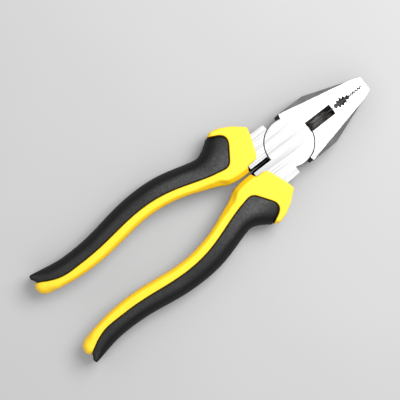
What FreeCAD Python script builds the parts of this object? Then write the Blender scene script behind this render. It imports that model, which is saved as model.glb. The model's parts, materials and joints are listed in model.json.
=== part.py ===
"""Lineman's combination pliers, 8 inch size, lying flat on the two grip collars.

The tool is two steel levers that cross at a lap joint, one rivet, and on each tang a grip of two
mouldings: a stiff yellow sleeve with a black rubber overmould.

Everything is drawn in the lever frame: the rivet's axis is Z, the lap plane is Z = 0, the jaws close on
Y = 0 and point along +X, and the lever drawn has its jaw above Y = 0 and its handle below. The back lever
and its grip are the same forms turned half a turn about X. The Placement of each piece then carries the
rivet's axis to pivot_x and lifts the lap plane to rest_height, so that the tool lies on Z = 0 with the
origin under the middle of its outline. Lengths are millimetres, and angles are degrees.
"""
import FreeCAD, Part
import os

import Sketcher
from FreeCAD import Placement, Rotation, Vector

OUT = "parts"
SHEET = "Dimensions"

# Driving dimensions, by alias.
DIMENSIONS = {
    # Place of the lever frame in the part's own frame.
    "pivot_x": 51.75,
    "rest_height": 8.8,
    # Head.
    "head_half": 6.0,
    "disc_radius": 13.5,
    "disc_clearance": 0.35,
    "lap_clearance": 0.03,
    "jaw_gap": 0.15,
    "land_gap": 0.45,
    "nose_x": 50.8,
    "nose_width": 4.3,
    "nose_corner": 0.6,
    "kink_x": 20.5,
    "kink_width": 15.3,
    "jaw_rear_x": 4.6,
    "jaw_rear_width": 15.55,
    "facet_rear_width": 15.3,
    "facet_nose_width": 4.85,
    "facet_slope": 45.0,
    "facet_depth": 4.0,
    "facet_reach": 60.0,
    # Forging draft: the jaw's rear end and the slot's walls spread towards the lap plane.
    "draft_root": 0.5,
    "draft_runout": 0.05,
    "heel_x": 3.95,
    "heel_spread": 2.6,
    "heel_lean": 1.0,
    "slot_spread": 1.05,
    # Shank, which carries the jaw's load into the tang.
    "slot_half": 1.4,
    "slot_end_x": 24.8,
    "shank_width": 15.9,
    "shank_shoulder_x": 5.2,
    "shank_shoulder_lean": 0.2,
    "shank_mid_x": 14.0,
    "shank_mid_width": 16.2,
    "shank_back_x": 29.0,
    "shank_back_inner": 5.4,
    "shank_back_outer": 17.6,
    # Side cutter.
    "cutter_x": 12.7,
    "cutter_length": 16.2,
    "cutter_half": 3.0,
    "cutter_edge_land": 0.25,
    # Pipe grip.
    "pipe_x": 35.0,
    "pipe_half_length": 4.7,
    "pipe_radius": 6.9,
    "pipe_tooth_depth": 1.3,
    # Fine teeth.
    "teeth_x": 40.1,
    "teeth_pitch": 1.6,
    "teeth_depth": 0.9,
    "teeth_gap": 1.1,
    # Rivet.
    "rivet_radius": 4.0,
    "rivet_head_radius": 5.6,
    "rivet_head_depth": 1.6,
    "running_clearance": 0.03,
    # Edge breaks on the ground faces.
    "face_chamfer": 0.3,
    # Grip.
    "grip_half": 8.8,
    "collar_round": 1.2,
    "rubber_side": 2.2,
    "rubber_top": 1.8,
    "rubber_reach": 40.0,
    "rubber_reach_up": 12.0,
}

PIPE_TEETH = 5
FINE_TEETH = 5

# Stations of the grip, from the tail to the collar: x, inner side, outer side, half height, inner and outer
# corner radius, and the inner edge of the rubber. Distances across the handle are from the closing line.
GRIP_COLUMNS = ("grip_x", "grip_inner", "grip_outer", "grip_height", "grip_inner_round", "grip_outer_round",
                "rubber_edge")
GRIP_STATIONS = (
    (-156.0, 16.8, 29.6, 3.6, 2.8, 2.6, 27.4),
    (-152.5, 15.6, 29.1, 6.2, 4.0, 5.0, 25.0),
    (-147.0, 14.7, 28.3, 7.4, 4.2, 6.2, 21.6),
    (-139.0, 13.3, 26.8, 7.9, 4.2, 6.8, 18.3),
    (-125.0, 11.9, 26.1, 8.1, 4.2, 7.0, 17.5),
    (-110.0, 12.4, 27.4, 8.5, 4.2, 7.3, 18.2),
    (-97.0, 14.0, 29.4, 8.9, 4.2, 7.5, 19.7),
    (-85.0, 15.0, 30.4, 9.0, 4.2, 7.6, 20.5),
    (-72.0, 14.0, 30.0, 8.9, 4.2, 7.5, 19.6),
    (-60.0, 11.0, 27.7, 8.6, 4.2, 7.3, 16.7),
    (-50.0, 7.1, 24.8, 8.4, 4.2, 7.2, 13.4),
    (-44.0, 4.8, 23.4, 8.4, 4.0, 7.2, 11.6),
    (-40.0, 2.1, 24.7, 8.7, 3.6, 7.6, 10.6),
    (-36.0, 1.1, 27.4, 9.0, 3.4, 7.9, 9.8),
    (-32.5, 0.7, 29.3, 9.1, 3.3, 6.0, 9.7),
    (-29.5, 0.5, 30.2, 9.1, 3.3, 3.0, 9.7),
    (-25.0, 0.5, 28.7, 9.1, 3.3, 2.2, 9.7),
    (-19.0, 0.5, 25.4, 9.1, 3.3, 2.0, 9.7),
    (-11.0, 0.5, 19.2, 9.1, 3.3, 2.0, 9.7),
)
CREASE = 11  # the station where the smooth handle meets the straight-sided guard and collar
CORE_STATIONS = (2, 16)  # the first and last station of the core under the rubber

# Stations of the tang, from its end to the shank: x, inner side, outer side, half thickness.
TANG_COLUMNS = ("tang_x", "tang_inner", "tang_outer", "tang_half")
TANG_STATIONS = (
    (-138.0, 16.8, 21.6, 2.8),
    (-125.0, 15.5, 21.9, 3.1),
    (-110.0, 16.0, 23.2, 3.3),
    (-85.0, 18.5, 26.4, 3.5),
    (-60.0, 14.4, 23.0, 3.6),
    (-46.0, 9.4, 18.6, 3.8),
    (-36.0, 7.0, 17.6, 4.6),
    (-27.0, 5.2, 17.4, 5.6),
)

# Outline of the grip seen from above, where the moulding is cut across: the collar's front and the tail.
# Each corner is x, distance from the closing line, and the radius of an arc to the next corner (0 for a
# straight side, negative for an arc that bends the other way).
PLAN_CORNERS = (
    (-12.9, 34.0, 0.0),
    (-12.9, 20.3, 0.0),
    (-14.2, 14.6, 0.0),
    (-18.3, 5.0, 2.0),
    (-20.0, 3.8, 0.0),
    (-25.2, 3.4, 0.0),
    (-26.3, 0.9, 0.0),
    (-27.1, -1.0, 0.0),
    (-149.0, -1.0, 0.0),
    (-149.0, 15.2, 6.4),
    (-154.4, 20.6, 1.5),
    (-154.0, 22.0, 0.0),
    (-151.5, 25.1, 0.0),
    (-153.0, 27.2, 1.2),
    (-152.2, 29.2, 0.0),
    (-150.0, 34.0, 0.0),
)

COLLAR_MOUTH = 5  # the corner of that outline where the collar's front ends

# Front end of the rubber seen from above, in the same terms.
RUBBER_FRONT = (
    (-35.4, 9.75, -4.6),
    (-31.3, 11.4, 0.0),
    (-26.0, 19.8, -3.0),
    (-27.0, 24.8, 0.0),
    (-37.0, 30.7, 0.0),
    (-37.0, 36.0, 0.0),
    (-8.0, 36.0, 0.0),
    (-8.0, 6.0, 0.0),
    (-35.4, 6.0, 0.0),
)


def make_sheet(doc):
    """The spreadsheet of driving dimensions: a name in column A and its value, with an alias, in B."""
    sheet = doc.addObject("Spreadsheet::Sheet", SHEET)
    values = dict(DIMENSIONS)
    tables = (
        (GRIP_COLUMNS, GRIP_STATIONS),
        (TANG_COLUMNS, TANG_STATIONS),
        (("plan_x", "plan_width", "plan_arc"), PLAN_CORNERS),
        (("front_x", "front_width", "front_arc"), RUBBER_FRONT),
    )
    for columns, rows in tables:
        for index, row in enumerate(rows):
            for column, value in zip(columns, row):
                values[f"{column}_{index}"] = value
    for row, (alias, value) in enumerate(values.items(), start=1):
        sheet.set(f"A{row}", alias)
        sheet.set(f"B{row}", str(value))
        sheet.setAlias(f"B{row}", alias)
    doc.recompute()
    return sheet


def cell(alias):
    """The expression that reads one cell of the sheet."""
    return f"{SHEET}.{alias}"


def value_of(doc, expression):
    """The number that an expression on the sheet gives now."""
    found = doc.getObject(SHEET).evalExpression(str(expression))
    return float(getattr(found, "Value", found))


def plane_of(body, role):
    """One of a body's own origin planes."""
    return next(o for o in body.Origin.OriginFeatures if o.Role == role)


def add_sketch(body, name, role, offset=None):
    """An empty sketch on a plane of its body, moved along the plane's normal by the expression offset."""
    sketch = body.newObject("Sketcher::SketchObject", name)
    sketch.AttachmentSupport = [(plane_of(body, role), "")]
    sketch.MapMode = "FlatFace"
    if offset is not None:
        sketch.setExpression("AttachmentOffset.Base.z", offset)
    return sketch


def arc_between(start, end, radius):
    """The arc of less than half a turn from start to end, whose centre lies on the left of the way for a
    positive radius. The sketcher keeps arcs anticlockwise, so the second value says whether it runs so."""
    chord = end - start
    middle = start + chord * 0.5
    left = Vector(-chord.y, chord.x, 0).normalize()
    rise = (radius * radius - (chord.Length / 2) ** 2) ** 0.5
    centre = middle + left * (rise if radius > 0 else -rise)
    circle = Part.Circle(centre, Vector(0, 0, 1), abs(radius))
    first, last = (start, end) if radius > 0 else (end, start)
    return Part.ArcOfCircle(circle, circle.parameter(first), circle.parameter(last)), radius > 0


def close_outline(sketch, corners):
    """Adds one closed outline whose corners are (x, y, radius) expressions, each bound to the sheet. The
    radius is of the arc to the next corner, with a sign as in arc_between, and None for a straight side."""
    doc = sketch.Document
    points = [Vector(value_of(doc, x), value_of(doc, y), 0) for x, y, _ in corners]
    ends = []
    for index, (_, _, radius) in enumerate(corners):
        start, end = points[index], points[(index + 1) % len(points)]
        if radius is None:
            edge = sketch.addGeometry(Part.LineSegment(start, end), False)
            ends.append((edge, 1, 2))
            continue
        arc, anticlockwise = arc_between(start, end, value_of(doc, radius))
        edge = sketch.addGeometry(arc, False)
        ends.append((edge, 1, 2) if anticlockwise else (edge, 2, 1))
        size = sketch.addConstraint(Sketcher.Constraint("Radius", edge, abs(value_of(doc, radius))))
        sketch.setExpression(f"Constraints[{size}]", f"abs({radius})")
    for index, (edge, _, last) in enumerate(ends):
        following, first, _ = ends[(index + 1) % len(ends)]
        sketch.addConstraint(Sketcher.Constraint("Coincident", edge, last, following, first))
    for (edge, first, _), point, (x, y, _) in zip(ends, points, corners):
        for kind, number, expression in (("DistanceX", point.x, x), ("DistanceY", point.y, y)):
            size = sketch.addConstraint(Sketcher.Constraint(kind, edge, first, number))
            sketch.setExpression(f"Constraints[{size}]", str(expression))


def outline_sketch(body, name, role, corners, offset=None):
    """A sketch of one closed outline."""
    sketch = add_sketch(body, name, role, offset)
    close_outline(sketch, corners)
    return sketch


def add_pad(body, name, sketch, half):
    """A pad of a sketch to the same depth on both sides of its plane."""
    pad = body.newObject("PartDesign::Pad", name)
    pad.Profile = sketch
    pad.Midplane = True
    pad.setExpression("Length", f"2 * ({half})")
    return pad


def add_pocket(body, name, sketch, depth=None, reverse=False, both=False):
    """A pocket of the given depth, or through everything on both sides."""
    pocket = body.newObject("PartDesign::Pocket", name)
    pocket.Profile = sketch
    pocket.Reversed = reverse
    if both:
        pocket.Type = "ThroughAll"
        pocket.Midplane = True
    else:
        pocket.setExpression("Length", depth)
    return pocket


def add_loft(body, name, sketches, ruled=False):
    """A loft through sketches, in order: smooth, or straight from each sketch to the next."""
    loft = body.newObject("PartDesign::AdditiveLoft", name)
    loft.Profile = sketches[0]
    loft.Sections = sketches[1:]
    loft.Ruled = ruled
    return loft


def on_disc(width):
    """The distance along X at which the disc's edge is width away from the X axis."""
    return f"sqrt({cell('disc_radius')}^2 - ({width})^2)"


def jaw_face(tooth_sign):
    """Corners of the jaw's gripping face from the disc to the nose: a land, the toothed arc of the pipe
    grip, the fine teeth and the flat of the nose, which closes first. The two levers' fine teeth are of
    opposite sign, so that they mesh."""
    face = f"{cell('jaw_gap')} / 2"
    teeth = f"{cell('teeth_gap')} / 2"
    land = f"{cell('land_gap')} / 2"
    corners = [(on_disc(land), land, None)]
    radius, half = cell("pipe_radius"), cell("pipe_half_length")
    depth = f"{cell('pipe_tooth_depth')} / 2"
    centre = f"({land} - sqrt({radius}^2 - {half}^2))"
    corners.append((f"{cell('pipe_x')} - {half}", land, None))
    steps = 2 * PIPE_TEETH
    for step in range(1, steps):
        angle = f"asin({half} / {radius}) * {2 * step / steps - 1:.3f}"
        reach = f"({radius} {'+' if step % 2 else '-'} {depth})"
        x = f"{cell('pipe_x')} + {reach} * sin({angle})"
        corners.append((x, f"{centre} + {reach} * cos({angle})", None))
    corners.append((f"{cell('pipe_x')} + {half}", teeth, None))
    corners.append((cell("teeth_x"), teeth, None))
    for step in range(2 * FINE_TEETH):
        sign = tooth_sign if step % 2 else -tooth_sign
        x = f"{cell('teeth_x')} + {cell('teeth_pitch')} * {step / 2 + 0.25:.2f}"
        corners.append((x, f"{teeth} + {sign} * {cell('teeth_depth')} / 2", None))
    corners.append((f"{cell('teeth_x')} + {cell('teeth_pitch')} * {FINE_TEETH}", teeth, None))
    corners.append((f"{cell('teeth_x')} + {cell('teeth_pitch')} * {FINE_TEETH}", face, None))
    corners.append((cell("nose_x"), face, None))
    return corners


def lever_outline(tooth_sign):
    """Corners of the whole head from above: the jaw, the disc and the shank."""
    nose, corner = cell("nose_x"), cell("nose_corner")
    radius = cell("disc_radius")
    shoulder = cell("shank_shoulder_x")
    lean = cell("shank_shoulder_lean")
    return jaw_face(tooth_sign) + [
        (nose, f"{cell('nose_width')} - {corner}", None),
        (f"{nose} - {corner}", cell("nose_width"), None),
        (cell("kink_x"), cell("kink_width"), None),
        (cell("jaw_rear_x"), cell("jaw_rear_width"), None),
        (cell("heel_x"), f"sqrt({radius}^2 - {cell('heel_x')}^2)", radius),
        (f"-{radius} * cos(45)", f"{radius} * sin(45)", radius),
        (f"-{on_disc(cell('slot_half'))}", f"-{cell('slot_half')}", None),
        (f"-{cell('slot_end_x')}", f"-{cell('slot_half')}", None),
        (f"-{cell('slot_end_x')}", f"-{cell('shank_back_inner')}", None),
        (f"-{cell('shank_back_x')}", f"-{cell('shank_back_inner')}", None),
        (f"-{cell('shank_back_x')}", f"-{cell('shank_back_outer')}", None),
        (f"-{cell('shank_mid_x')}", f"-{cell('shank_mid_width')}", None),
        (f"-{shoulder} - {lean}", f"-{cell('shank_width')}", None),
        (f"-{shoulder}", f"-sqrt({radius}^2 - {shoulder}^2)", radius),
    ]


def add_draft(body, name, corners_at):
    """A wedge of forging draft that is widest at the lap plane and runs out at both ground faces.
    corners_at gives its outline from above for a spread."""
    for end, face in (("front", cell("head_half")), ("back", f"-{cell('head_half')}")):
        wide = outline_sketch(body, f"{name}_{end}_wide", "XY_Plane", corners_at(cell(f"{name}_spread")), "0")
        thin = outline_sketch(body, f"{name}_{end}_thin", "XY_Plane", corners_at(cell("draft_runout")), face)
        add_loft(body, f"{name}_{end}", [wide, thin], ruled=True)


def heel_corners(spread):
    """The wedge behind the jaw."""
    root = cell("draft_root")
    base = f"{cell('disc_radius')} - {root}"
    inside = f"{cell('jaw_rear_x')} + {root}"
    rear = f"{cell('jaw_rear_width')} - {root} / 2"
    return [
        (f"{cell('heel_x')} - {spread}", base, None),
        (inside, base, None),
        (inside, rear, None),
        (f"{cell('heel_x')} + {cell('heel_lean')} - {spread}", rear, None),
    ]


def slot_corners(spread):
    """The wedge on the shank's wall of the slot and on the step behind it."""
    root = cell("draft_root")
    wall, step = f"-{cell('slot_half')}", f"-{cell('slot_end_x')}"
    front = f"-{cell('disc_radius')} + {root}"
    inside = f"-{cell('shank_back_inner')} - {root}"
    return [
        (front, f"{wall} - {root}", None),
        (front, f"{wall} + {spread}", None),
        (f"{step} - {spread}", f"{wall} + {spread}", None),
        (f"{step} - {spread}", inside, None),
        (f"{step} + {root}", inside, None),
        (f"{step} + {root}", f"{wall} - {root}", None),
    ]


def add_tang(body):
    """The tang, which the grip is pressed over."""
    sections = []
    for index in range(len(TANG_STATIONS)):
        inner, outer, half = (cell(f"{name}_{index}") for name in TANG_COLUMNS[1:])
        corners = [
            (f"-{inner}", half, None),
            (f"-{outer}", half, None),
            (f"-{outer}", f"-{half}", None),
            (f"-{inner}", f"-{half}", None),
        ]
        name = f"tang_{index}"
        sections.append(outline_sketch(body, name, "YZ_Plane", corners, cell(f"tang_x_{index}")))
    add_loft(body, "tang", sections)


def cut_lap(body):
    """The half of the joint that the other lever's disc fills."""
    sketch = add_sketch(body, "lap_recess", "XY_Plane", f"-{cell('head_half')}")
    reach = f"{cell('disc_radius')} + {cell('disc_clearance')}"
    circle = Part.Circle(Vector(), Vector(0, 0, 1), value_of(body.Document, reach))
    edge = sketch.addGeometry(circle, False)
    sketch.addConstraint(Sketcher.Constraint("Coincident", edge, 3, -1, 1))
    size = sketch.addConstraint(Sketcher.Constraint("Radius", edge, value_of(body.Document, reach)))
    sketch.setExpression(f"Constraints[{size}]", reach)
    add_pocket(body, "lap", sketch, f"{cell('head_half')} + {cell('lap_clearance')}", reverse=True)


def cut_facets(body):
    """The slanting flats along the jaw's outer side, one below each ground face."""
    run = f"({cell('nose_x')} - {cell('jaw_rear_x')})"
    fall = f"({cell('facet_rear_width')} - {cell('facet_nose_width')})"
    angle = f"-atan({fall} / {run})"
    # Distance from the origin to the facet's upper edge, square to that edge.
    edge = f"({cell('facet_rear_width')} * cos({angle}) - {cell('jaw_rear_x')} * sin({angle}))"
    depth = cell("facet_depth")
    rise = f"{depth} * tan({cell('facet_slope')})"
    face = cell("head_half")
    for name, sign in (("facet_front", ""), ("facet_back", "-")):
        corners = [
            (edge, f"{sign}({face})", None),
            (f"{edge} + {depth}", f"{sign}({face} - {rise})", None),
            (f"{edge} + {depth}", f"{sign}({face} + 1)", None),
            (edge, f"{sign}({face} + 1)", None),
        ]
        sketch = outline_sketch(body, f"{name}_profile", "YZ_Plane", corners)
        # The sketch's second axis is the lever's Z, so this turns the profile to face along the edge.
        sketch.AttachmentOffset = Placement(Vector(), Rotation(Vector(0, 1, 0), 1.0))
        sketch.setExpression("AttachmentOffset.Rotation.Angle", angle)
        add_pocket(body, name, sketch, cell("facet_reach"), reverse=True)


def cut_cutter(body):
    """The side cutter's hollow: a vee from each ground face that leaves an edge at the lap plane."""
    face, half = cell("head_half"), cell("cutter_half")
    land = cell("cutter_edge_land")
    for name, sign in (("cutter_front", ""), ("cutter_back", "-")):
        corners = [
            ("0", f"{sign}({land})", None),
            (half, f"{sign}({face})", None),
            (half, f"{sign}({face} + 1)", None),
            (f"-{half}", f"{sign}({face} + 1)", None),
            (f"-{half}", f"{sign}({face})", None),
        ]
        sketch = outline_sketch(body, f"{name}_profile", "YZ_Plane", corners, cell("cutter_x"))
        add_pocket(body, name, sketch, cell("cutter_length"), reverse=True)


def cut_rivet_bore(body, clearance):
    """The rivet's bore, with the seat of its head in the face that the lever shows."""
    radius = f"{cell('rivet_radius')} + {clearance}"
    head = f"{cell('rivet_head_radius')} + {clearance}"
    face, depth = cell("head_half"), cell("rivet_head_depth")
    corners = [
        ("0", f"-{face}", None),
        (radius, f"-{face}", None),
        (radius, f"{face} - {depth}", None),
        (head, face, None),
        (head, f"{face} + 1", None),
        ("0", f"{face} + 1", None),
    ]
    sketch = outline_sketch(body, "bore_profile", "XZ_Plane", corners)
    groove = body.newObject("PartDesign::Groove", "bore")
    groove.Profile = sketch
    groove.ReferenceAxis = (sketch, ["V_Axis"])
    groove.Angle = 360


def break_edges(body):
    """A small chamfer round the ground faces of the head."""
    doc = body.Document
    doc.recompute()
    face = value_of(doc, cell("head_half"))
    radius = value_of(doc, cell("disc_radius"))
    tip = body.Tip
    chosen = []
    for number, edge in enumerate(tip.Shape.Edges, start=1):
        box = edge.BoundBox
        on_face = abs(abs(box.ZMin) - face) < 1e-4 and box.ZLength < 1e-4
        on_disc_edge = edge.Curve.TypeId == "Part::GeomCircle" and abs(edge.Curve.Radius - radius) < 1e-3
        if on_face and on_disc_edge:
            chosen.append(f"Edge{number}")
    chamfer = body.newObject("PartDesign::Chamfer", "edge_break")
    chamfer.Base = (tip, chosen)
    chamfer.setExpression("Size", cell("face_chamfer"))


def place(thing, turned):
    """Carries a piece from the lever frame to the part's frame, turned half a turn for the back lever."""
    thing.Placement = Placement(Vector(), Rotation(Vector(1, 0, 0), 180 if turned else 0))
    thing.setExpression("Placement.Base.x", cell("pivot_x"))
    thing.setExpression("Placement.Base.z", cell("rest_height"))


def make_lever(doc, name, tooth_sign, bore_clearance, turned):
    """One forged lever: jaw, disc, shank and tang."""
    body = doc.addObject("PartDesign::Body", name)
    body.Label = name
    head = outline_sketch(body, "head_outline", "XY_Plane", lever_outline(tooth_sign))
    add_pad(body, "head", head, cell("head_half"))
    add_draft(body, "heel", heel_corners)
    add_draft(body, "slot", slot_corners)
    cut_facets(body)
    cut_cutter(body)
    cut_lap(body)
    add_tang(body)
    cut_rivet_bore(body, bore_clearance)
    break_edges(body)
    place(body, turned)
    return body


def make_rivet(doc):
    """The rivet: a pin with a countersunk head at each end, ground flush with the levers."""
    body = doc.addObject("PartDesign::Body", "rivet")
    radius, head = cell("rivet_radius"), cell("rivet_head_radius")
    face, depth = cell("head_half"), cell("rivet_head_depth")
    corners = [
        ("0", f"-{face}", None),
        (head, f"-{face}", None),
        (radius, f"-{face} + {depth}", None),
        (radius, f"{face} - {depth}", None),
        (head, face, None),
        ("0", face, None),
    ]
    sketch = outline_sketch(body, "rivet_profile", "XZ_Plane", corners)
    turned = body.newObject("PartDesign::Revolution", "turned_pin")
    turned.Profile = sketch
    turned.ReferenceAxis = (sketch, ["V_Axis"])
    turned.Angle = 360
    place(body, False)
    return body


def rounded_section(body, name, station, inner, outer, height, inner_round, outer_round):
    """A cross-section of the grip: a box with large corners, drawn across the handle."""
    corners = [
        (f"-({inner} + {inner_round})", height, None),
        (f"-({outer} - {outer_round})", height, outer_round),
        (f"-({outer})", f"{height} - {outer_round}", None),
        (f"-({outer})", f"-({height} - {outer_round})", outer_round),
        (f"-({outer} - {outer_round})", f"-({height})", None),
        (f"-({inner} + {inner_round})", f"-({height})", inner_round),
        (f"-({inner})", f"-({height} - {inner_round})", None),
        (f"-({inner})", f"{height} - {inner_round}", inner_round),
    ]
    return outline_sketch(body, name, "YZ_Plane", corners, station)


def add_handle_lofts(body, name, sections, crease):
    """Two lofts that share the section at the crease: a smooth handle and a straight-sided collar."""
    add_loft(body, f"{name}_handle", sections[: crease + 1])
    add_loft(body, f"{name}_collar", sections[crease:], ruled=True)


def make_envelope(doc, name, first, last, side, top, turned):
    """The grip's outer form, or with a side and top thickness the core that the rubber is moulded on."""
    body = doc.addObject("PartDesign::Body", name)
    sections = []
    for index in range(first, last + 1):
        x, inner, outer, height, inner_round, outer_round = (
            cell(f"{column}_{index}") for column in GRIP_COLUMNS[:-1]
        )
        if side:
            outer = f"({outer} - {side})"
            height = f"({height} - {top})"
            outer_round = f"({outer_round} - {top} / 2)"
        section = (x, inner, outer, height, inner_round, outer_round)
        sections.append(rounded_section(body, f"{name}_{index}", *section))
    add_handle_lofts(body, name, sections, CREASE - first)
    place(body, turned)
    return body


def plan_corners(x_alias, width_alias, arc_alias, rows):
    """Corners of an outline seen from above, from its columns in the sheet."""
    corners = []
    for index, row in enumerate(rows):
        arc = cell(f"{arc_alias}_{index}") if row[2] else None
        corners.append((cell(f"{x_alias}_{index}"), f"-{cell(f'{width_alias}_{index}')}", arc))
    return corners


def round_collar(body):
    """Rounds the rims of the collar's front, which are the slab's level edges ahead of the mouth."""
    slab = body.Tip
    mouth = value_of(body.Document, cell(f"plan_x_{COLLAR_MOUTH}"))
    rims = []
    for number, edge in enumerate(slab.Shape.Edges, start=1):
        if edge.BoundBox.ZLength < 1e-6 and edge.BoundBox.XMin > mouth - 1e-6:
            rims.append(f"Edge{number}")
    fillet = body.newObject("PartDesign::Fillet", "collar_rims")
    fillet.Base = (slab, rims)
    fillet.setExpression("Radius", cell("collar_round"))


def make_plan(doc, name, turned):
    """The slab that cuts the collar's front, the tail and the flats the tool lies on."""
    body = doc.addObject("PartDesign::Body", name)
    corners = plan_corners("plan_x", "plan_width", "plan_arc", PLAN_CORNERS)
    sketch = outline_sketch(body, f"{name}_outline", "XY_Plane", corners)
    add_pad(body, f"{name}_slab", sketch, cell("grip_half"))
    doc.recompute()
    round_collar(body)
    place(body, turned)
    return body


def make_rubber_region(doc, name, turned):
    """Where rubber covers the grip: outside the rubber's edge, and behind its front end."""
    body = doc.addObject("PartDesign::Body", name)
    far, up = f"-{cell('rubber_reach')}", cell("rubber_reach_up")
    sections = []
    for index in range(len(GRIP_STATIONS)):
        edge = f"-{cell(f'rubber_edge_{index}')}"
        corners = [(edge, up, None), (far, up, None), (far, f"-{up}", None), (edge, f"-{up}", None)]
        section = outline_sketch(body, f"{name}_{index}", "YZ_Plane", corners, cell(f"grip_x_{index}"))
        sections.append(section)
    add_handle_lofts(body, name, sections, CREASE)
    corners = plan_corners("front_x", "front_width", "front_arc", RUBBER_FRONT)
    front = outline_sketch(body, f"{name}_front", "XY_Plane", corners)
    add_pocket(body, f"{name}_front_cut", front, both=True)
    place(body, turned)
    return body


def combine(doc, kind, name, base, tool):
    """A boolean of two objects: kind is Cut or Common."""
    made = doc.addObject(f"Part::{kind}", name)
    made.Base = base
    made.Tool = tool
    return made


def make_grip(doc, side, lever, turned):
    """The two mouldings on one lever: the rubber overmould, then the sleeve, which is the rest."""
    outer = make_envelope(doc, f"{side}_grip_form", 0, len(GRIP_STATIONS) - 1, None, None, turned)
    plan = make_plan(doc, f"{side}_grip_plan", turned)
    thickness = cell("rubber_side"), cell("rubber_top")
    core = make_envelope(doc, f"{side}_grip_core", *CORE_STATIONS, *thickness, turned)
    region = make_rubber_region(doc, f"{side}_rubber_region", turned)
    blank = combine(doc, "Common", f"{side}_grip_blank", outer, plan)
    covered = combine(doc, "Common", f"{side}_grip_covered", blank, region)
    rubber = combine(doc, "Cut", f"{side}_grip_overmould", covered, core)
    stiff = combine(doc, "Cut", f"{side}_grip_stiff", blank, rubber)
    sleeve = combine(doc, "Cut", f"{side}_grip_sleeve", stiff, lever)
    return [sleeve, rubber]


def check(doc, parts):
    """Stops if any object failed to build or any sub-part isn't a sound solid."""
    for thing in doc.Objects:
        if {"Invalid", "Error"} & set(thing.State):
            raise RuntimeError(f"{thing.Name} failed: {thing.State}")
    for part in parts:
        shape = part.Shape
        if shape.isNull() or not shape.isValid() or shape.Volume <= 0 or not shape.Solids:
            raise RuntimeError(f"{part.Label} has no sound solid")


def main():
    doc = FreeCAD.newDocument("lineman_pliers")
    make_sheet(doc)
    front = make_lever(doc, "front_lever", 1, "0", False)
    back = make_lever(doc, "back_lever", -1, cell("running_clearance"), True)
    parts = [front, back, make_rivet(doc)]
    parts += make_grip(doc, "front", front, False)
    parts += make_grip(doc, "back", back, True)
    doc.recompute()
    check(doc, parts)
    os.makedirs(OUT, exist_ok=True)
    for part in parts:
        part.Shape.exportStep(os.path.join(OUT, f"{part.Label}.step"))
        print(f"{part.Label}: {len(part.Shape.Solids)} solid, {part.Shape.Volume:.0f} mm3")


main()
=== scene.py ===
"""Combination pliers lying on a pale table, seen from straight above.

The levers and the rivet are the CAD nodes with procedural steel. The four grip mouldings are meshes that
stand for their CAD nodes. Each is the zero surface of a distance field, which is built from the CAD grip's
own edges and heights: an outline from above, a height, and a fillet where the two meet. Grip sizes are in
millimetres from the rivet's centre: x is along the tool, w is across it from the closing line, and z is up.
"""

import json
import math

import bpy
import numpy as np
from mathutils import Matrix, Vector
from mathutils.bvhtree import BVHTree


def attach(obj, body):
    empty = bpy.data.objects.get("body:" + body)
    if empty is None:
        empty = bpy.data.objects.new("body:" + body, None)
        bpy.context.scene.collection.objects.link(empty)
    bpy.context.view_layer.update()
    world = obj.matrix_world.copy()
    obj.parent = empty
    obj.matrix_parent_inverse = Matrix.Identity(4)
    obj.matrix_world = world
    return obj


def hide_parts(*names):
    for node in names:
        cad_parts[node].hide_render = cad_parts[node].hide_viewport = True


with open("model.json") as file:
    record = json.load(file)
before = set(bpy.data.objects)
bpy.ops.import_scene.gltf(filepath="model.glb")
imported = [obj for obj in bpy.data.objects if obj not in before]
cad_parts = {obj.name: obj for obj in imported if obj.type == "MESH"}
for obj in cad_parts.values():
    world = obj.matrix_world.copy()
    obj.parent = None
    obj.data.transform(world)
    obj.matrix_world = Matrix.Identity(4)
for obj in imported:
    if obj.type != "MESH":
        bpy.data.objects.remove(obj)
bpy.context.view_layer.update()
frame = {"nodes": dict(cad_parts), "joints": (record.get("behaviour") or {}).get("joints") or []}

MM = 0.001
PIVOT = Vector(frame["joints"][0]["pos_m"])

# ---------------------------------------------------------------- the grip's form

VOXEL = (0.4, 0.25, 0.34)  # the field's steps along x, w and z
FIELD_START = (-155.6, -1.0, -9.8)  # the corners of the field's box, a little clear of the grip
FIELD_END = (-11.6, 31.8, 9.9)
RELAXINGS = 2  # passes that even out the surface between neighbouring cells

# How the CAD grip is read: the stretch of x, the step, and the blur that takes out the facets.
HANDLE_START, HANDLE_END = -148.0, -31.0
SAMPLE_STEP = 0.5
SMOOTHING = 1.2
INSIDE, OUTSIDE, OVERHEAD = -5.0, 45.0, 30.0  # where rays start, clear of the grip
# The ray that finds the rubber's edge starts inside the sleeve, this far from its edge and its top.
EDGE_INSET, EDGE_DEPTH = 1.0, 0.6

GUARD_START = -36.0  # the outer edge is the CAD grip's as far as here
# Corners of the outline: x, w and the corner's radius.
COLLAR_CORNERS = (
    (-26.6, 0.45, 0.4),
    (-25.3, 3.4, 0.6),
    (-19.8, 3.8, 1.2),
    (-18.0, 5.2, 1.0),
    (-14.3, 14.6, 4.0),
    (-12.9, 20.3, 0.9),
    (-19.0, 25.5, 6.0),
    (-25.0, 28.9, 6.0),
    (-30.0, 30.3, 2.0),
    (-34.5, 28.6, 1.0),
)
TAIL_CORNERS = (
    (-150.2, 28.9, 2.0),
    (-152.6, 29.3, 1.3),
    (-152.9, 26.9, 1.0),
    (-151.7, 25.1, 0.5),
    (-154.4, 21.9, 1.6),
    (-153.9, 17.6, 4.5),
    (-150.4, 15.4, 5.0),
)
RUBBER_TURN = -42.0  # the rubber's edge is the CAD grip's as far as here
# Corners of the rubber's front end, and far corners that close its region outside the grip.
RUBBER_CORNERS = (
    (-32.9, 9.1, 5.2),
    (-23.0, 23.6, 5.6),
    (-34.2, 29.4, 1.0),
    (-36.0, 34.0, 0.0),
    (-160.0, 34.0, 0.0),
    (-160.0, 29.0, 0.0),
)
ARC_POINTS = 9
ARC_SHARE = 0.49  # the most of a side that one corner's arc may take

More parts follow.
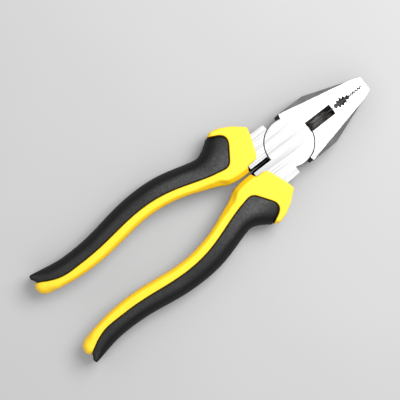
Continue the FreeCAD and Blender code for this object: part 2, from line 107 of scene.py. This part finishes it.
HALF_HEIGHT = 8.8  # the most that the grip rises above the joint's middle plane
FLAT_BAND = 0.4  # half the height of the flat band that the rounded rims leave on the sides
GROOVE = 0.42  # the gap between the two mouldings
RUBBER_DEPTH = 1.6
RUBBER_CROWN = 0.25  # how much lower the rubber's top is at the grip's edges than along its middle
RUBBER_RIM, SLEEVE_RIM = 0.45, 0.3  # radii of the two mouldings' rims at the groove
BEVEL_STEEPNESS = 1.25  # fall for each millimetre across of the bevel on the sleeve's inner edge
BEVEL_ROUNDING = 0.5
SEAT_GAP = 0.1  # between the rubber's underside and the sleeve's seat below it
SEAT_REACH = 1.5  # how far the seat goes on past the rubber's edge, to meet the bare sleeve


def cad_tree(*names):
    """The triangles of some CAD nodes, for rays to meet."""
    vertices, triangles = [], []
    for name in names:
        mesh = frame["nodes"][name].data
        first = len(vertices)
        vertices += [v.co.copy() for v in mesh.vertices]
        triangles += [[first + i for i in face.vertices] for face in mesh.polygons]
    return BVHTree.FromPolygons(vertices, triangles)


def first_hit(tree, start, direction):
    """Where a ray first meets the tree, in the grip's millimetres. The front grip lies on the -Y side."""
    x, w, z = start
    origin = PIVOT + Vector((x, -w, z)) * MM
    place = tree.ray_cast(origin, Vector((direction[0], -direction[1], direction[2])))[0]
    local = (place - PIVOT) / MM
    return local.x, -local.y, local.z


def smoothed(values):
    """A sampled line with its facets blurred away."""
    reach = int(3 * SMOOTHING / SAMPLE_STEP)
    steps = np.arange(-reach, reach + 1) * SAMPLE_STEP
    weights = np.exp(-0.5 * (steps / SMOOTHING) ** 2)
    padded = np.concatenate([
        2 * values[0] - values[reach:0:-1],
        values,
        2 * values[-1] - values[-2:-reach - 2:-1],
    ])
    return np.convolve(padded, weights / weights.sum(), mode="valid")


def read_cad_grip():
    """The CAD grip's inner edge, outer edge, half height and rubber edge at each sampled x."""
    grip = cad_tree("front_grip_sleeve", "front_grip_overmould")
    rubber = cad_tree("front_grip_overmould")
    stations = np.arange(HANDLE_START, HANDLE_END + SAMPLE_STEP / 2, SAMPLE_STEP)
    rows = []
    for x in stations:
        inner = first_hit(grip, (x, INSIDE, 0.0), (0, 1, 0))[1]
        outer = first_hit(grip, (x, OUTSIDE, 0.0), (0, -1, 0))[1]
        height = first_hit(grip, (x, (inner + outer) / 2, OVERHEAD), (0, 0, -1))[2]
        edge = first_hit(rubber, (x, inner + EDGE_INSET, height - EDGE_DEPTH), (0, 1, 0))[1]
        rows.append((inner, outer, height, edge))
    return stations, [smoothed(column) for column in np.array(rows).T]


def rounded_outline(corners):
    """Points along a closed outline of (x, w, radius) corners, with an arc at each that has a radius."""
    points = []
    for index, (x, w, radius) in enumerate(corners):
        here = np.array((x, w))
        if radius == 0:
            points.append(here)
            continue
        before = np.array(corners[index - 1][:2]) - here
        after = np.array(corners[(index + 1) % len(corners)][:2]) - here
        room = ARC_SHARE * min(np.linalg.norm(before), np.linalg.norm(after))
        before, after = before / np.linalg.norm(before), after / np.linalg.norm(after)
        half_turn = (math.pi - math.acos(np.clip(before @ after, -1, 1))) / 2
        reach = min(radius * math.tan(half_turn), room)
        start, end = here + before * reach, here + after * reach
        for share in np.linspace(0, 1, ARC_POINTS):
            # A parabola through both tangent points follows such a short arc closely.
            points.append((1 - share) ** 2 * start + 2 * share * (1 - share) * here + share ** 2 * end)
    return np.array(points)


def outline_distance(x, w, outline):
    """Signed distance of each grid point to a closed outline, negative inside."""
    nearest = np.full(x.shape, np.inf)
    inside = np.zeros(x.shape, bool)
    for (ax, aw), (bx, bw) in zip(outline, np.roll(outline, -1, axis=0)):
        ex, ew = bx - ax, bw - aw
        length = max(ex * ex + ew * ew, 1e-12)
        share = np.clip(((x - ax) * ex + (w - aw) * ew) / length, 0, 1)
        nearest = np.minimum(nearest, (x - ax - share * ex) ** 2 + (w - aw - share * ew) ** 2)
        if aw != bw:
            inside ^= ((aw > w) != (bw > w)) & (x < ax + ex * (w - aw) / ew)
    return np.where(inside, -1, 1) * np.sqrt(nearest)


def smooth_step(share):
    """A share of the way from 0 to 1, slowed at both ends."""
    share = np.clip(share, 0, 1)
    return share * share * (3 - 2 * share)


def eased(x, *knots):
    """A value along x that eases from each (x, value) knot to the next."""
    value = np.full(np.shape(x), float(knots[0][1]))
    for (x0, v0), (x1, v1) in zip(knots, knots[1:]):
        value += (v1 - v0) * smooth_step((x - x0) / (x1 - x0))
    return value


def fillet_join(a, b, radius):
    """The common part of two fields, with their edge rounded."""
    return (
        np.minimum(np.maximum(a + radius, b + radius), 0)
        + np.hypot(np.maximum(a + radius, 0), np.maximum(b + radius, 0))
        - radius
    )


def moulded_form(plan, above, width_round, height_round):
    """A form of the plan's outline and a height, whose rim is an ellipse of the two radii."""
    return fillet_join(plan * height_round / width_round, above, height_round)


def grip_plan(stations, inner, outer):
    """The whole grip's outline from above."""
    front = np.searchsorted(stations, GUARD_START)
    collar = [(HANDLE_END, inner[-1], 0), *COLLAR_CORNERS, (GUARD_START, outer[front], 0)]
    tail = [(HANDLE_START, outer[0], 0), *TAIL_CORNERS, (HANDLE_START, inner[0], 0)]
    return np.concatenate([
        np.column_stack([stations, inner]),
        rounded_outline(collar)[1:-1],
        np.column_stack([stations, outer])[front::-1],
        rounded_outline(tail)[1:-1],
    ])


def rubber_region(stations, edge):
    """The region of the plan that the rubber covers."""
    behind = stations < RUBBER_TURN
    return np.concatenate([
        np.column_stack([stations, edge])[behind],
        rounded_outline([(RUBBER_TURN, edge[behind][-1], 0), *RUBBER_CORNERS])[1:],
    ])


def grip_fields():
    """The distance fields of the sleeve and the overmould on one grid, and the grid's axes."""
    stations, (inner, outer, height, edge) = read_cad_grip()
    axes = [np.arange(start, end, step) for start, end, step in zip(FIELD_START, FIELD_END, VOXEL)]
    x, w = np.meshgrid(axes[0], axes[1], indexing="ij")
    inner_line = np.interp(x, stations, inner)
    across = smooth_step((w - inner_line) / np.interp(x, stations, outer - inner))
    outline = outline_distance(x, w, grip_plan(stations, inner, outer))
    rubber = outline_distance(x, w, rubber_region(stations, edge))
    half_height = np.minimum(np.interp(x, stations, height), HALF_HEIGHT)

    # How wide each moulding's rounding is on its inner and its outer side, and the bevel's width, along x.
    sleeve_inner = eased(x, (-150, 5.5), (-140, 1.5), (-24, 1.2), (-20, 0.7))
    sleeve_outer = eased(x, (-152, 4.0), (-140, 4.0), (-32, 3.0), (-29, 1.4), (-20, 0.7))
    rubber_inner = eased(x, (-152, 2.6), (-140, 4.0), (-50, 4.2), (-42, 5.4), (-36, 3.8), (-27, 3.4))
    rubber_outer = eased(x, (-153, 1.6), (-141, 6.6), (-110, 7.8), (-50, 8.2), (-40, 9.6), (-30, 9.0))
    bevel_width = eased(x, (-150, 0.3), (-140, 1.6), (-56, 1.7), (-46, 2.6), (-41, 3.2), (-37, 2.5))
    # Distance to the inner edge's own line, so that the bevel runs straight out through the collar's mouth.
    edge_slope = np.interp(x, stations, np.gradient(inner, stations))
    from_edge = (w - inner_line) / np.hypot(1, edge_slope)

    def solid(inner_round, outer_round, crown):
        """A rounded form on the whole plan, and the height field that ends it above and below."""
        width_round = inner_round + (outer_round - inner_round) * across
        height_round = np.minimum(width_round, half_height - FLAT_BAND)[..., None]
        above = np.abs(axes[2]) - (half_height - crown * (2 * across - 1) ** 2)[..., None]
        return moulded_form(outline[..., None], above, width_round[..., None], height_round), above

    sleeve_form, above = solid(sleeve_inner, sleeve_outer, 0.0)
    bevel = (bevel_width - from_edge)[..., None] + above / BEVEL_STEEPNESS
    sleeve_form = fillet_join(sleeve_form, bevel / math.hypot(1, 1 / BEVEL_STEEPNESS), BEVEL_ROUNDING)
    rubber_form = solid(rubber_inner, rubber_outer, RUBBER_CROWN)[0]
    beside = (rubber + GROOVE / 2)[..., None]
    core = rubber_form + RUBBER_DEPTH
    overmould = np.maximum(fillet_join(rubber_form, beside, RUBBER_RIM), -core)
    bare = (GROOVE / 2 - rubber)[..., None]
    seat = np.maximum(core + SEAT_GAP, (rubber - SEAT_REACH)[..., None])
    sleeve = np.minimum(fillet_join(sleeve_form, bare, SLEEVE_RIM), seat)
    return {"sleeve": sleeve, "overmould": overmould}, axes


def zero_surface(field):
    """Vertices, in grid steps, and quads of the surface where a field is zero.

    There is one vertex in each grid cell that the surface crosses, at the mean of its crossings, and one quad
    round each crossed grid edge.
    """
    negative = field < 0
    corners = sum(
        negative[i:field.shape[0] - 1 + i, j:field.shape[1] - 1 + j, k:field.shape[2] - 1 + k].astype(int)
        for i in (0, 1) for j in (0, 1) for k in (0, 1)
    )
    cells = np.argwhere((corners > 0) & (corners < 8))
    number = np.full(corners.shape, -1)
    number[tuple(cells.T)] = np.arange(len(cells))
    total = np.zeros((len(cells), 3))
    count = np.zeros(len(cells))
    quads = []
    for axis in range(3):
        along = np.eye(3, dtype=int)[axis]
        side_1, side_2 = np.eye(3, dtype=int)[(axis + 1) % 3], np.eye(3, dtype=int)[(axis + 2) % 3]
        for offset in (0 * side_1, side_1, side_2, side_1 + side_2):
            low = field[tuple((cells + offset).T)]
            high = field[tuple((cells + offset + along).T)]
            crossed = (low < 0) != (high < 0)
            share = low[crossed] / (low[crossed] - high[crossed])
            total[crossed] += offset + share[:, None] * along
            count[crossed] += 1
        shape = np.array(field.shape)
        ahead = np.take(negative, range(1, shape[axis]), axis)
        behind = np.take(negative, range(shape[axis] - 1), axis)
        edges = np.argwhere(ahead != behind)
        away_from_sides = (edges > 0) & (edges < shape - 1) | (along == 1)
        edges = edges[np.all(away_from_sides, axis=1)]
        ring = [edges - side_1 - side_2, edges - side_2, edges, edges - side_1]
        quad = np.column_stack([number[tuple(cell.T)] for cell in ring])
        leaving = behind[tuple(edges.T)]
        quad[~leaving] = quad[~leaving][:, ::-1]
        quads.append(quad)
    return cells + total / count[:, None], np.concatenate(quads)


def moulding_mesh(name, field, axes):
    """The mesh of one moulding of the front grip, in metres from the rivet's centre."""
    points, quads = zero_surface(field)
    places = np.column_stack([axis[0] + points[:, i] * VOXEL[i] for i, axis in enumerate(axes)])
    places = places * (MM, -MM, MM)
    mesh = bpy.data.meshes.new(name)
    mesh.from_pydata(places.tolist(), [], quads[:, ::-1].tolist())
    mesh.polygons.foreach_set("use_smooth", np.ones(len(mesh.polygons), bool))
    mesh.update()
    return mesh


# ---------------------------------------------------------------- materials

# Sizes in the materials are in metres. The side cutter's hollow is placed in the frame, by its ends along X
# and its half width.
CUTTER_START, CUTTER_END = PIVOT.x + 0.0125, PIVOT.x + 0.0291
CUTTER_HALF = 0.0032
NOISE_SPREAD = (0.3, 0.7)  # nearly all of a noise texture's values lie between these
CREASE_SHADE_REACH = 0.0012  # the width of the cracks that get a painted shade


class Nodes:
    """A short way to add the nodes of one material."""

    def __init__(self, name):
        self.material = bpy.data.materials.new(name)
        self.material.use_nodes = True
        self.tree = self.material.node_tree
        self.shader = self.tree.nodes["Principled BSDF"]
        self.place = self.add("ShaderNodeTexCoord").outputs["Object"]

    def add(self, kind, **settings):
        node = self.tree.nodes.new(kind)
        for key, value in settings.items():
            setattr(node, key, value)
        return node

    def link(self, source, target):
        self.tree.links.new(source, target)

    def noise(self, scale, detail=4.0, stretch=(1, 1, 1), distortion=0.0):
        """Noise in the object's own space, with a size per metre and a stretch."""
        mapping = self.add("ShaderNodeMapping")
        mapping.inputs["Scale"].default_value = stretch
        self.link(self.place, mapping.inputs["Vector"])
        noise = self.add("ShaderNodeTexNoise")
        noise.inputs["Scale"].default_value = scale
        noise.inputs["Detail"].default_value = detail
        noise.inputs["Distortion"].default_value = distortion
        self.link(mapping.outputs["Vector"], noise.inputs["Vector"])
        return noise.outputs["Fac"]

    def ramp(self, source, low_colour, high_colour, spread=NOISE_SPREAD):
        """A colour that goes from one to the other as a value crosses the spread."""
        ramp = self.add("ShaderNodeValToRGB")
        for element, position, colour in zip(ramp.color_ramp.elements, spread, (low_colour, high_colour)):
            element.position = position
            element.color = (*colour, 1)
        self.link(source, ramp.inputs["Fac"])
        return ramp.outputs["Color"]

    def range(self, source, low, high, to_low, to_high):
        """A value carried from one range to another, and held at its ends."""
        node = self.add("ShaderNodeMapRange")
        node.inputs["From Min"].default_value = low
        node.inputs["From Max"].default_value = high
        node.inputs["To Min"].default_value = to_low
        node.inputs["To Max"].default_value = to_high
        self.link(source, node.inputs["Value"])
        return node.outputs["Result"]

    def blend(self, share, first, second):
        """A mix of two colours."""
        node = self.add("ShaderNodeMix", data_type="RGBA")
        self.link(share, node.inputs["Factor"])
        self.link(first, node.inputs["A"])
        self.link(second, node.inputs["B"])
        return node.outputs["Result"]

    def math(self, operation, first, second=None):
        """The result of a sum on one or two values."""
        node = self.add("ShaderNodeMath", operation=operation)
        self.link(first, node.inputs[0])
        if second is not None:
            self.link(second, node.inputs[1])
        return node.outputs["Value"]

    def shade_cracks(self, reach, first, second):
        """A mix of two colours: the first, a painted shade, deep in cracks narrower than the reach, the
        second in the open.
        """
        node = self.add("ShaderNodeAmbientOcclusion", samples=4)
        node.inputs["Distance"].default_value = reach
        return self.blend(self.range(node.outputs["AO"], 0.45, 0.85, 0, 1), first, second)

    def tone(self, colour):
        """One colour, for mixing."""
        node = self.add("ShaderNodeRGB")
        node.outputs["Color"].default_value = (*colour, 1)
        return node.outputs["Color"]

    def coordinates(self):
        """The place along the tool, and the distance to either side of its middle plane."""
        parts = self.add("ShaderNodeSeparateXYZ")
        self.link(self.place, parts.inputs["Vector"])
        return parts.outputs["X"], self.math("ABSOLUTE", parts.outputs["Y"])

    def levelness(self):
        """How nearly a face is level: 1 on the top and bottom, 0 on the sides. Both halves turn about the
        vertical only, so the object's own normal serves."""
        parts = self.add("ShaderNodeSeparateXYZ")
        self.link(self.add("ShaderNodeTexCoord").outputs["Normal"], parts.inputs["Vector"])
        return self.math("ABSOLUTE", parts.outputs["Z"])

    def bump(self, source, strength, distance, under=None):
        """A normal bumped by a value, over another bump if one is given."""
        node = self.add("ShaderNodeBump")
        node.inputs["Strength"].default_value = strength
        node.inputs["Distance"].default_value = distance
        self.link(source, node.inputs["Height"])
        if under is not None:
            self.link(under, node.inputs["Normal"])
        return node.outputs["Normal"]


def cutter_tone(m, along, aside):
    """Rough ground bevels: dark scale with lengthwise scratches, brighter towards the middle of the hollow
    and darker towards its ends and sides.
    """
    scratches = m.noise(1900, 3, (0.16, 1, 0.6))
    bright_scratched = m.ramp(scratches, (0.08, 0.076, 0.073), (0.80, 0.78, 0.765), (0.43, 0.57))
    scaly = m.ramp(scratches, (0.012, 0.012, 0.012), (0.20, 0.196, 0.192), (0.43, 0.57))
    patchy = m.range(m.noise(240, 3, (0.5, 1, 0.6)), 0.4, 0.56, 0.1, 1)
    # Brighter towards the middle of the hollow, darker towards its ends and sides.
    from_back = m.range(along, CUTTER_START + 0.001, CUTTER_START + 0.007, 0.25, 1)
    from_front = m.range(along, CUTTER_END - 0.006, CUTTER_END - 0.001, 1, 0.05)
    from_sides = m.range(aside, 0.0006, CUTTER_HALF, 1, 0.1)
    middle = m.math("MULTIPLY", from_sides, m.math("MULTIPLY", from_back, from_front))
    return m.blend(m.math("MULTIPLY", patchy, middle), scaly, bright_scratched)


def cutter_mask(m, along, aside):
    """1 within the side cutter's hollow, 0 elsewhere."""
    edge = 0.0001
    within = m.range(aside, CUTTER_HALF, CUTTER_HALF + edge, 1, 0)
    ahead = m.range(along, CUTTER_START, CUTTER_START + 2 * edge, 0, 1)
    behind = m.range(along, CUTTER_END, CUTTER_END + 2 * edge, 1, 0)
    return m.math("MULTIPLY", within, m.math("MULTIPLY", ahead, behind))


def tool_steel():
    """Forged steel: level faces polished with lengthwise grinding lines, slopes satin, sides dark. The
    cutter's bevels keep a rough ground finish of their own."""
    m = Nodes("tool_steel")
    level = m.levelness()
    lines = m.noise(900, 6, (0.04, 1.6, 1.6))
    patches = m.noise(160, 4, (1, 1, 1), 0.6)
    slope_tone = m.ramp(patches, (0.25, 0.25, 0.254), (0.34, 0.34, 0.344))
    side_tone = m.ramp(patches, (0.012, 0.012, 0.013), (0.03, 0.03, 0.032))
    polished_tone = m.ramp(lines, (0.66, 0.66, 0.665), (0.84, 0.84, 0.844), (0.36, 0.64))
    along, aside = m.coordinates()
    blade_tone = cutter_tone(m, along, aside)
    blade_mask = cutter_mask(m, along, aside)
    on_slope = m.range(level, 0.5, 0.66, 0, 1)
    on_face = m.range(level, 0.93, 0.985, 0, 1)
    dull = m.blend(blade_mask, m.blend(on_slope, side_tone, slope_tone), blade_tone)
    m.link(m.blend(on_face, dull, polished_tone), m.shader.inputs["Base Color"])
    m.shader.inputs["Metallic"].default_value = 1.0
    satin = m.range(patches, *NOISE_SPREAD, 0.42, 0.56)
    shine = m.range(lines, *NOISE_SPREAD, 0.16, 0.26)
    roughness = m.add("ShaderNodeMix", data_type="FLOAT")
    m.link(on_face, roughness.inputs["Factor"])
    m.link(satin, roughness.inputs["A"])
    m.link(shine, roughness.inputs["B"])
    m.link(roughness.outputs["Result"], m.shader.inputs["Roughness"])
    grain = m.bump(patches, 0.12, 0.0002)
    m.link(m.bump(lines, 0.06, 0.00005, grain), m.shader.inputs["Normal"])
    return m.material


def yellow_plastic():
    """Satin moulded plastic with a fine grain and faint cloudiness, with painted shade that deepens its
    colour on the slopes, and painted shade in the groove beside the rubber."""
    m = Nodes("yellow_plastic")
    cloud = m.noise(60, 3)
    grain = m.noise(2600, 2)
    # Painted shade: the slopes take a deeper, darker orange than the level top, as if less light falls on
    # them.
    slope_shade_tone = m.ramp(cloud, (0.95, 0.55, 0.008), (0.98, 0.59, 0.012))
    flat = m.ramp(cloud, (0.92, 0.645, 0.018), (0.95, 0.685, 0.024))
    slope_shaded = m.blend(m.range(m.levelness(), 0.62, 0.93, 0, 1), slope_shade_tone, flat)
    # Painted shade: this dark tone darkens the groove beside the rubber, where shade falls.
    crease_shade_tone = m.tone((0.06, 0.035, 0.004))
    m.link(m.shade_cracks(CREASE_SHADE_REACH, crease_shade_tone, slope_shaded), m.shader.inputs["Base Color"])
    m.link(m.range(grain, *NOISE_SPREAD, 0.34, 0.46), m.shader.inputs["Roughness"])
    m.shader.inputs["Specular IOR Level"].default_value = 0.45
    m.link(m.bump(grain, 0.12, 0.00008, m.bump(cloud, 0.1, 0.0006)), m.shader.inputs["Normal"])
    return m.material


def black_rubber():
    """Soft matt rubber: fine pitted grain, with its level top painted paler as a sheen, and a painted
    highlight that is strongest behind the guard."""
    m = Nodes("black_rubber")
    blotch = m.noise(110, 5, (0.7, 1, 1), 0.4)
    grain = m.noise(1300, 3)
    deep = m.ramp(blotch, (0.004, 0.004, 0.0045), (0.007, 0.007, 0.0075))
    # The paler tones carry the grain's own speckle and a painted sheen.
    grain_and_sheen = m.ramp(grain, (0.013, 0.013, 0.014), (0.038, 0.038, 0.039))
    grain_and_highlight = m.ramp(grain, (0.034, 0.034, 0.035), (0.100, 0.100, 0.101))
    along, aside = m.coordinates()
    # A painted highlight grows towards the guard.
    near_guard = m.range(along, -0.095, -0.032, 0, 1)
    # The painted highlight fades outward. Behind the flare of the guard it reaches farther out.
    farther = m.range(along, -0.05, -0.034, 0.0048, 0)
    inner_side = m.range(m.math("SUBTRACT", aside, farther), 0.016, 0.0215, 1, 0)
    sheen_and_highlight = m.blend(m.math("MULTIPLY", near_guard, inner_side), grain_and_sheen, grain_and_highlight)
    patchy = m.range(m.noise(70, 3, (0.6, 1, 1), 0.3), 0.35, 0.6, 0.55, 1)
    # Painted sheen: level faces take the paler tones, patchy in places.
    top_sheen = m.math("MULTIPLY", m.range(m.levelness(), 0.8, 0.998, 0, 1), patchy)
    # Painted shade: this near-black tone darkens the groove beside the sleeve, where shade falls.
    crease_shade_tone = m.tone((0.002, 0.002, 0.002))
    m.link(m.shade_cracks(CREASE_SHADE_REACH, crease_shade_tone, m.blend(top_sheen, deep, sheen_and_highlight)), m.shader.inputs["Base Color"])
    m.link(m.range(grain, *NOISE_SPREAD, 0.5, 0.68), m.shader.inputs["Roughness"])
    m.shader.inputs["Specular IOR Level"].default_value = 0.2
    m.link(m.bump(grain, 0.35, 0.00012, m.bump(blotch, 0.2, 0.0005)), m.shader.inputs["Normal"])
    return m.material


def table_top():
    """A pale matt surface."""
    m = Nodes("table_top")
    tone = m.ramp(m.noise(6, 3), (0.455, 0.455, 0.455), (0.475, 0.475, 0.475))
    m.link(tone, m.shader.inputs["Base Color"])
    m.shader.inputs["Roughness"].default_value = 0.85
    return m.material


# ---------------------------------------------------------------- pieces

STEEL_SLOTS = {"front_lever": "lever_steel", "back_lever": "lever_steel", "rivet": "rivet_steel"}


def dress_steel():
    """Gives the shown CAD nodes their steel."""
    steel = tool_steel()
    for name, slot in STEEL_SLOTS.items():
        node = frame["nodes"][name]
        node.data.materials.clear()
        node.data.materials.append(steel)


def make_grips():
    """The four mouldings. The back grip is the front one turned half a turn about the tool's length."""
    fields, axes = grip_fields()
    looks = {
        "sleeve": (yellow_plastic(), "yellow_plastic"),
        "overmould": (black_rubber(), "black_rubber"),
    }
    for kind, field in fields.items():
        material, slot = looks[kind]
        mesh = moulding_mesh(f"grip_{kind}", field, axes)
        mesh.materials.append(material)
        for side, turn in (("front", 0.0), ("back", math.pi)):
            piece = bpy.data.objects.new(f"{side}_{kind}_moulding", mesh)
            bpy.context.scene.collection.objects.link(piece)
            piece.matrix_world = Matrix.Translation(PIVOT) @ Matrix.Rotation(turn, 4, "X")
            relax = piece.modifiers.new("relax", "SMOOTH")
            relax.iterations = RELAXINGS
            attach(piece, f"{side}_half")
            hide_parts(f"{side}_grip_{kind}")
            # No yellow light bounces from the sleeves, so the table beside them keeps its neutral grey.
            piece.visible_diffuse = kind != "sleeve"


# ---------------------------------------------------------------- stage

VIEW_WIDTH = 0.212  # what the camera takes in at the height of the tool's upper face
VIEW_TURN = math.radians(-38)  # the tool points up to the right
VIEW_CENTRE = PIVOT + Vector((-0.0561, 0.0051, 0.006))
VIEW_REACH = 10.0  # the farthest that the camera sees
LENS, SENSOR = 100.0, 36.0
TABLE_HALF = 3.0
KEY_PLACE = (0.42, 0.03, 0.61)
KEY_SIZE = 0.45
KEY_POWER = 5.4
SKY_TONES = (0.3, 1.0)  # at the horizon and overhead; between them by the sine of the elevation
SKY_STRENGTH = 1.0


def make_camera():
    """A long lens straight above the tool, as in the photograph."""
    camera = bpy.data.objects.new("camera", bpy.data.cameras.new("camera"))
    camera.data.lens = LENS
    camera.data.sensor_width = SENSOR
    camera.data.clip_end = VIEW_REACH
    camera.location = VIEW_CENTRE + Vector((0, 0, VIEW_WIDTH * LENS / SENSOR))
    camera.rotation_euler = (0, 0, VIEW_TURN)
    bpy.context.scene.collection.objects.link(camera)
    bpy.context.scene.camera = camera


def make_table():
    """A plain square that the tool lies on."""
    mesh = bpy.data.meshes.new("table")
    corners = ((-1, -1), (1, -1), (1, 1), (-1, 1))
    mesh.from_pydata([(x * TABLE_HALF, y * TABLE_HALF, 0) for x, y in corners], [], [(0, 1, 2, 3)])
    mesh.materials.append(table_top())
    table = bpy.data.objects.new("table", mesh)
    bpy.context.scene.collection.objects.link(table)


def add_softbox(name, place, size, power):
    """A square area light that faces the tool."""
    light = bpy.data.lights.new(name, "AREA")
    light.size = size
    light.energy = power
    box = bpy.data.objects.new(name, light)
    box.location = place
    box.rotation_euler = Vector(place).to_track_quat("Z", "Y").to_euler()
    bpy.context.scene.collection.objects.link(box)


def make_world():
    """A studio that is dim near the horizon and bright overhead."""
    world = bpy.data.worlds.new("studio")
    world.use_nodes = True
    tree = world.node_tree
    parts = tree.nodes.new("ShaderNodeSeparateXYZ")
    tree.links.new(tree.nodes.new("ShaderNodeTexCoord").outputs["Generated"], parts.inputs["Vector"])
    ramp = tree.nodes.new("ShaderNodeValToRGB")
    tree.links.new(parts.outputs["Z"], ramp.inputs["Fac"])
    for element, tone in zip(ramp.color_ramp.elements, SKY_TONES):
        element.color = (tone, tone, tone, 1)
    background = tree.nodes["Background"]
    background.inputs["Strength"].default_value = SKY_STRENGTH
    tree.links.new(ramp.outputs["Color"], background.inputs["Color"])
    bpy.context.scene.world = world


def make_lights():
    """One soft lamp, high beyond the jaws, and the studio's own light."""
    add_softbox("key", KEY_PLACE, KEY_SIZE, KEY_POWER)
    make_world()
    bpy.context.scene.view_settings.view_transform = "Standard"


make_camera()
make_table()
make_lights()
dress_steel()
make_grips()
